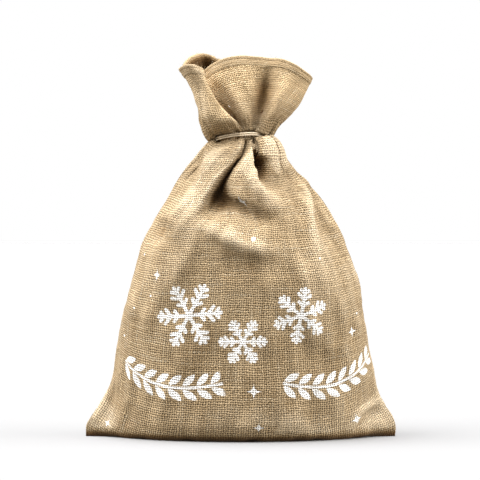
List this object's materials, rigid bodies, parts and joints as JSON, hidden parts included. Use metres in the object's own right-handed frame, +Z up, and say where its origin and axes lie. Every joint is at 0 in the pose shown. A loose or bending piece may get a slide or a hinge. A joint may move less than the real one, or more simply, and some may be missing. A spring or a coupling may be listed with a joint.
{
  "type": "tied burlap sack",
  "caption": "Filled burlap sack standing upright, its neck drawn in by a thin cord and its hemmed mouth flared above the tie.",
  "frame": {"origin": "on the floor under the middle of the sack", "axes": "+Z up from the floor to the mouth, -Y towards the printed front, +X towards the sack's right as seen from the front"},
  "size_m": [0.3498, 0.1744, 0.434],
  "materials": {
    "burlap": "coarse plain-woven jute in an uneven tan, matt, with a cream-white ink print on the front",
    "tie_cord": "thin pale twisted cord, matt"
  },
  "bodies": {
    "root": {"sack_cloth": "burlap", "neck_tie": "tie_cord"}
  },
  "joints": []
}
